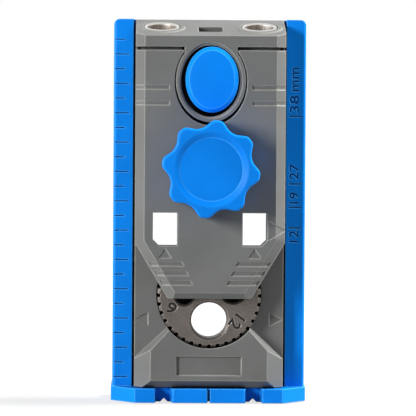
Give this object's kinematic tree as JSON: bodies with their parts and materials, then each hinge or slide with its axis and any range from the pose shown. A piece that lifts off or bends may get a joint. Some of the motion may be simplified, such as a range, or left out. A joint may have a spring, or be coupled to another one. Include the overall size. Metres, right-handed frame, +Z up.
{
  "type": "pocket hole jig",
  "caption": "Pocket hole jig: a carriage with slanted drill sleeves and a dowel-hole turret slides between the rails of a base frame and locks with a lobed knob.",
  "frame": {"origin": "on the sole of the foot, at the middle of the width, in the plane of the workpiece face", "axes": "+X to the right seen from the front, +Y to the back, out of the workpiece face, +Z up along the rails"},
  "size_m": [0.0664, 0.053, 0.13],
  "materials": {
    "blue_abs": "satin moulded ABS",
    "grey_abs": "fine-textured moulded ABS",
    "polished_steel": "ground and polished",
    "sintered_steel": "grainy sintered steel",
    "zinc_plated_steel": "zinc plated"
  },
  "bodies": {
    "base": {"base_frame": "blue_abs"},
    "carriage": {"carriage_body": "grey_abs", "front_cover": "grey_abs", "guide_sleeve_left": "polished_steel", "guide_sleeve_right": "polished_steel", "turret_pivot_pin": "polished_steel", "turret_detent_ball": "polished_steel", "turret_detent_spring": "polished_steel", "clamp_washer": "zinc_plated_steel", "button_spring": "polished_steel", "cover_screw_1": "zinc_plated_steel", "cover_screw_2": "zinc_plated_steel", "cover_screw_3": "zinc_plated_steel", "cover_screw_4": "zinc_plated_steel"},
    "turret": {"dowel_turret": "sintered_steel"},
    "knob": {"clamp_knob": "blue_abs", "clamp_stud": "zinc_plated_steel"},
    "nut": {"clamp_nut": "zinc_plated_steel"},
    "button": {"release_button": "blue_abs", "brake_bar": "zinc_plated_steel", "brake_screw": "zinc_plated_steel"}
  },
  "joints": [
    {"name": "carriage_slide", "type": "slide", "parent": "base", "child": "carriage", "axis": [0, 0, 1], "range_m": [0, 0.038]},
    {"name": "turret_turn", "type": "hinge", "parent": "carriage", "child": "turret", "pos_m": [0, -0.017, 0.0363], "axis": [0, -1, 0], "continuous": true},
    {"name": "knob_turn", "type": "hinge", "parent": "carriage", "child": "knob", "pos_m": [0, -0.035, 0.07935], "axis": [0, -1, 0], "range_deg": [0, 360]},
    {"name": "nut_travel", "type": "slide", "parent": "carriage", "child": "nut", "axis": [0, 1, 0], "range_m": [0, 0.00101]},
    {"name": "button_press", "type": "slide", "parent": "carriage", "child": "button", "axis": [0, 1, 0], "range_m": [0, 0.0015], "stiffness_N_per_m": 600, "springref_m": -0.004, "deforming": ["button_spring"]}
  ],
  "couplings": [
    {"joint": "nut_travel", "follows": "knob_turn", "m_per_rad": 0.00015915}
  ]
}
